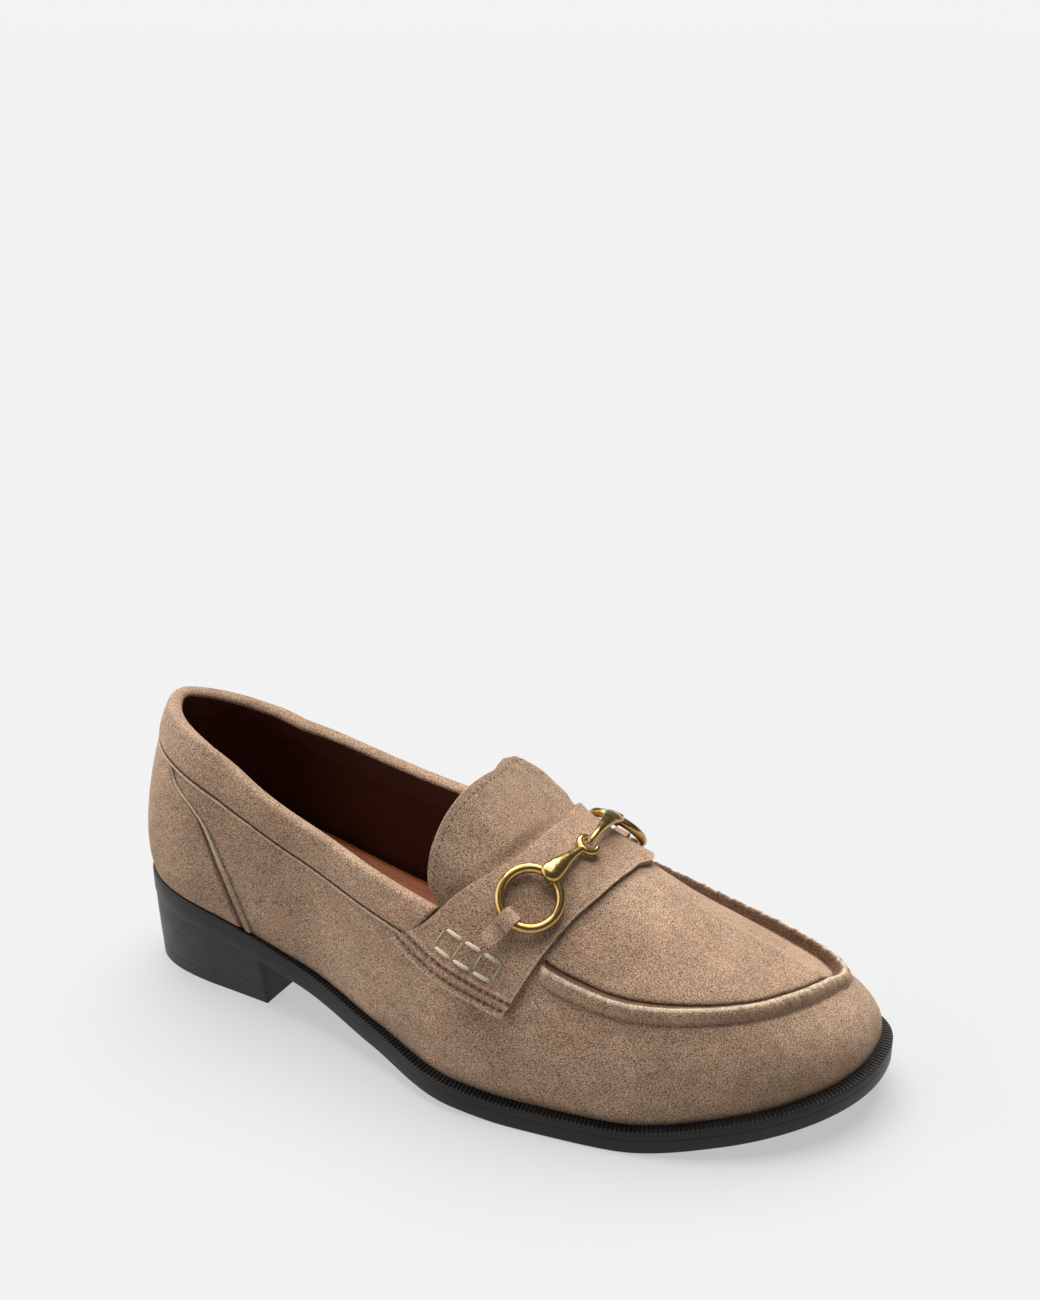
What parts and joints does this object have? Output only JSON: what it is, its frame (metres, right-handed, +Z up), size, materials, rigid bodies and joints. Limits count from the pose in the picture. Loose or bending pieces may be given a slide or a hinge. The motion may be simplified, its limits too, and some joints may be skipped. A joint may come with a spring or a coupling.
{
  "type": "bit loafer",
  "caption": "Low-cut slip-on suede shoe for the right foot, with a raised apron seam, a saddle strap carrying a brass bit, a padded collar, a ribbed welt and a low block heel.",
  "frame": {"origin": "on the floor, under the middle of the shoe's bounding box", "axes": "+X from the heel to the toe, +Y to the inner (medial) side, +Z up from the floor"},
  "size_m": [0.265, 0.0998, 0.0979],
  "materials": {
    "suede": "taupe suede with a short nap",
    "lining": "dark brown smooth lining",
    "thread": "cream twisted thread",
    "insole_leather": "tan smooth leather",
    "sole": "black edge dressing, satin",
    "welt": "black, fine upright ribs",
    "brass": "polished, darkened in the hollows"
  },
  "bodies": {
    "root": {"outsole": "sole", "heel": "sole", "welt": "welt", "insole": "insole_leather", "upper": "suede", "counter": "suede", "collar": "suede", "tongue": "suede", "saddle_strap": "suede", "ring_tab_lateral": "suede", "ring_tab_medial": "suede", "bit_ring_lateral": "brass", "bit_ring_medial": "brass", "bit_bar_lateral": "brass", "bit_bar_medial": "brass"}
  },
  "joints": []
}
